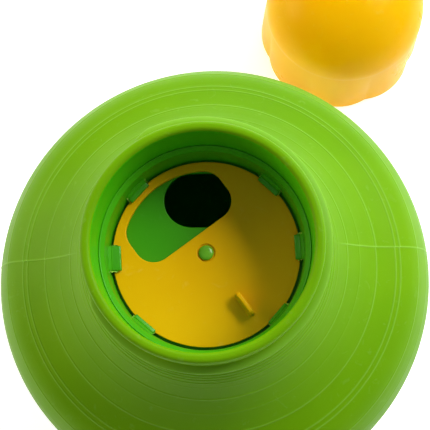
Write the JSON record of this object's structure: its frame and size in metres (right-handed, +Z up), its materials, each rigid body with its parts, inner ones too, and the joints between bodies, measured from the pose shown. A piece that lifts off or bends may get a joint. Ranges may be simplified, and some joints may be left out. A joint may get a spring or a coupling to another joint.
{
  "type": "wasp trap",
  "caption": "Hollow round-bellied wasp trap with a screw neck, a rotary shutter set down in its mouth, and a separate domed screw cap lying beside it.",
  "frame": {"origin": "on the bulb's axis, on the surface that its base stands on", "axes": "+Z up along the bulb's axis, out of its mouth; +Y from the axis towards the entrance hole; the cap lies towards +Y and +X"},
  "size_m": [0.1683, 0.2528, 0.194],
  "materials": {
    "blown_green": "satin lime green blown plastic with faint mould rings",
    "moulded_green": "satin green moulded plastic",
    "disc_yellow": "satin golden yellow moulded plastic",
    "cap_yellow": "semi-gloss warm yellow moulded plastic"
  },
  "bodies": {
    "trap": {"bulb_body": "blown_green", "entrance_cup": "moulded_green", "disc_clips": "moulded_green", "pivot_pin": "moulded_green"},
    "shutter": {"shutter_disc": "disc_yellow"},
    "cap": {"screw_cap": "cap_yellow"}
  },
  "joints": [
    {"name": "shutter_turn", "type": "hinge", "parent": "trap", "child": "shutter", "pos_m": [0, 0, 0.172], "axis": [0, 0, 1], "continuous": true},
    {"name": "cap_lift", "type": "slide", "parent": "trap", "child": "cap", "axis": [0, 0, 1], "range_m": [0, 0.2]}
  ]
}
